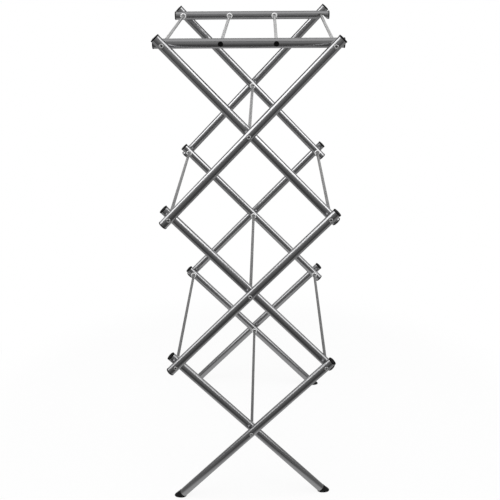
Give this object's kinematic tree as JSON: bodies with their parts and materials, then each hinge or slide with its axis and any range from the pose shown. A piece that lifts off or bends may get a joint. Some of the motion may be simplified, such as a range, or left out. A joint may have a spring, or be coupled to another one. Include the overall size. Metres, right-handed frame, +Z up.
{
  "type": "folding clothes airer",
  "caption": "Folding clothes airer: scissor frames of round metal tube joined by cross rods, with a hinged rack of rails on top and rubber feet.",
  "frame": {"origin": "on the floor below the centre of the open airer", "axes": "+Z up, +Y from the front frame to the rear frame along the rods, +X to the right towards the hooked side of the top rack"},
  "size_m": [0.4232, 0.615, 1.207],
  "materials": {
    "tube": "polished",
    "rod": "satin",
    "cap": "satin",
    "foot": "matte",
    "sleeve": "satin",
    "washer": "satin"
  },
  "bodies": {
    "base": {"foot_crossing_rod": "rod"},
    "lower_outer": {"front_lower_outer_leg": "tube", "front_lower_outer_leg_top_cap": "cap", "front_left_foot": "foot", "rear_lower_outer_leg": "tube", "rear_lower_outer_leg_top_cap": "cap", "rear_left_foot": "foot", "lower_right_rod": "rod"},
    "lower_inner": {"front_lower_inner_leg": "tube", "front_lower_inner_leg_top_cap": "cap", "front_right_foot": "foot", "rear_lower_inner_leg": "tube", "rear_lower_inner_leg_top_cap": "cap", "rear_right_foot": "foot"},
    "middle_outer": {"front_middle_outer_arm": "tube", "front_middle_outer_arm_top_cap": "cap", "front_middle_outer_arm_bottom_cap": "cap", "rear_middle_outer_arm": "tube", "rear_middle_outer_arm_top_cap": "cap", "rear_middle_outer_arm_bottom_cap": "cap", "lower_left_rod": "rod", "middle_crossing_rod": "rod", "upper_right_rod": "rod"},
    "middle_inner": {"front_middle_inner_arm": "tube", "front_middle_inner_arm_top_cap": "cap", "front_middle_inner_arm_bottom_cap": "cap", "rear_middle_inner_arm": "tube", "rear_middle_inner_arm_top_cap": "cap", "rear_middle_inner_arm_bottom_cap": "cap"},
    "upper_outer": {"front_upper_outer_arm": "tube", "front_upper_outer_arm_top_cap": "cap", "front_upper_outer_arm_bottom_cap": "cap", "front_top_right_sleeve": "sleeve", "rear_upper_outer_arm": "tube", "rear_upper_outer_arm_top_cap": "cap", "rear_upper_outer_arm_bottom_cap": "cap", "rear_top_right_sleeve": "sleeve", "upper_left_rod": "rod", "upper_crossing_rod": "rod", "top_right_rod": "rod"},
    "upper_inner": {"front_upper_inner_arm": "tube", "front_upper_inner_arm_top_cap": "cap", "front_upper_inner_arm_bottom_cap": "cap", "rear_upper_inner_arm": "tube", "rear_upper_inner_arm_top_cap": "cap", "rear_upper_inner_arm_bottom_cap": "cap", "top_left_rod": "rod"},
    "top_rack": {"front_rail": "tube", "front_rail_left_cap": "cap", "front_rail_left_plug": "cap", "front_rail_right_cap": "cap", "front_rail_right_plug": "cap", "rear_rail": "tube", "rear_rail_left_cap": "cap", "rear_rail_left_plug": "cap", "rear_rail_right_cap": "cap", "rear_rail_right_plug": "cap", "rack_left_rod": "rod", "rack_right_rod": "rod"}
  },
  "joints": [
    {"name": "fold", "type": "hinge", "parent": "base", "child": "lower_outer", "pos_m": [0, 0, 0.2015], "axis": [0, 1, 0], "range_deg": [0, 42]},
    {"name": "lower_inner_fold", "type": "hinge", "parent": "base", "child": "lower_inner", "pos_m": [0, 0, 0.2015], "axis": [0, 1, 0], "range_deg": [-42, 0]},
    {"name": "middle_inner_fold", "type": "hinge", "parent": "lower_outer", "child": "middle_inner", "pos_m": [0.1875, 0, 0.39775], "axis": [0, 1, 0], "range_deg": [-84, 0]},
    {"name": "middle_outer_fold", "type": "hinge", "parent": "lower_inner", "child": "middle_outer", "pos_m": [-0.1875, 0, 0.39775], "axis": [0, 1, 0], "range_deg": [0, 84]},
    {"name": "upper_outer_fold", "type": "hinge", "parent": "middle_inner", "child": "upper_outer", "pos_m": [-0.1875, 0, 0.79025], "axis": [0, 1, 0], "range_deg": [0, 84]},
    {"name": "upper_inner_fold", "type": "hinge", "parent": "middle_outer", "child": "upper_inner", "pos_m": [0.1875, 0, 0.79025], "axis": [0, 1, 0], "range_deg": [-84, 0]},
    {"name": "rack_lift", "type": "hinge", "parent": "upper_inner", "child": "top_rack", "pos_m": [-0.1875, 0, 1.18275], "axis": [0, -1, 0], "range_deg": [0, 180]}
  ],
  "couplings": [
    {"joint": "lower_inner_fold", "follows": "fold", "ratio": -1},
    {"joint": "middle_inner_fold", "follows": "fold", "ratio": -2},
    {"joint": "middle_outer_fold", "follows": "fold", "ratio": 2},
    {"joint": "upper_outer_fold", "follows": "fold", "ratio": 2},
    {"joint": "upper_inner_fold", "follows": "fold", "ratio": -2}
  ]
}
